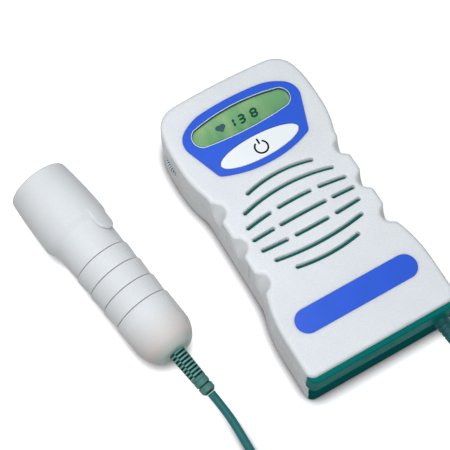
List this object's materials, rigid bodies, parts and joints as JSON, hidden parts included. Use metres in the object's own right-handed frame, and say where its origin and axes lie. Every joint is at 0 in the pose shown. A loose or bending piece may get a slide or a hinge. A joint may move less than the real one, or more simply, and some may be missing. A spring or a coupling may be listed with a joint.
{
  "type": "fetal doppler monitor",
  "caption": "Handheld fetal doppler: waisted display unit with oval LCD, power button, speaker grille and finger scoops, and a ribbed ultrasound probe joined to it by a cord.",
  "frame": {"origin": "centre of the display unit's rear face, which lies on the table", "axes": "+X across the unit to the side of the headphone socket, +Y along the unit towards the display end, +Z out of the front face, square to the table"},
  "size_m": [0.1727, 0.2736, 0.0376],
  "materials": {
    "shell_white": "satin",
    "probe_white": "satin",
    "button_white": "satin",
    "teal_plastic": "satin",
    "blue_overlay": "satin",
    "clear_lens": "gloss",
    "lcd_green": "satin",
    "dark_plastic": "matte",
    "board_green": "satin",
    "chip_black": "matte",
    "steel": "satin",
    "cone_fabric": "matte",
    "magnet_iron": "matte",
    "acoustic_cloth": "matte",
    "cell_case": "satin",
    "contact_metal": "satin",
    "teal_rubber": "satin",
    "membrane_resin": "satin",
    "crystal": "matte",
    "backing_resin": "matte",
    "cord_rubber": "satin"
  },
  "bodies": {
    "unit": {"front_shell": "shell_white", "rear_shell": "shell_white", "front_end_cap": "teal_plastic", "rear_end_cap": "teal_plastic", "display_panel": "blue_overlay", "display_window": "clear_lens", "lcd_glass": "lcd_green", "lcd_frame": "dark_plastic", "power_switch": "dark_plastic", "main_board": "board_green", "main_processor": "chip_black", "audio_amplifier": "chip_black", "name_plate": "blue_overlay", "speaker_frame": "steel", "speaker_cone": "cone_fabric", "speaker_magnet": "magnet_iron", "speaker_cloth": "acoustic_cloth", "volume_potentiometer": "dark_plastic", "headphone_socket": "dark_plastic", "case_screws": "steel", "battery_near_display": "cell_case", "battery_near_foot": "cell_case", "battery_springs": "contact_metal", "contact_plates": "contact_metal", "contact_bridge": "contact_metal", "unit_strain_relief": "teal_rubber", "cord_probe_lead": "cord_rubber", "cord_coil": "cord_rubber", "cord_unit_lead": "cord_rubber"},
    "button": {"power_button": "button_white"},
    "wheel": {"volume_wheel": "teal_plastic"},
    "door": {"battery_door": "teal_plastic"},
    "probe": {"probe_head": "probe_white", "probe_upper_shell": "probe_white", "probe_lower_shell": "probe_white", "probe_membrane": "membrane_resin", "piezo_transmitter": "crystal", "piezo_receiver": "crystal", "transducer_backing": "backing_resin", "probe_board": "board_green", "probe_strain_relief": "teal_rubber"}
  },
  "joints": [
    {"name": "power_button_press", "type": "slide", "parent": "unit", "child": "button", "axis": [0, 0, -1], "range_m": [0, 0.0008], "stiffness_N_per_m": 400},
    {"name": "volume_turn", "type": "hinge", "parent": "unit", "child": "wheel", "pos_m": [-0.0338, 0.0597, 0.019], "axis": [0, 0, 1], "range_deg": [-140, 140]},
    {"name": "battery_door_slide", "type": "slide", "parent": "unit", "child": "door", "axis": [0, -1, 0], "range_m": [0, 0.036]},
    {"name": "probe_lift", "type": "slide", "parent": "unit", "child": "probe", "axis": [0, 0, 1], "range_m": [0, 0.1]}
  ]
}
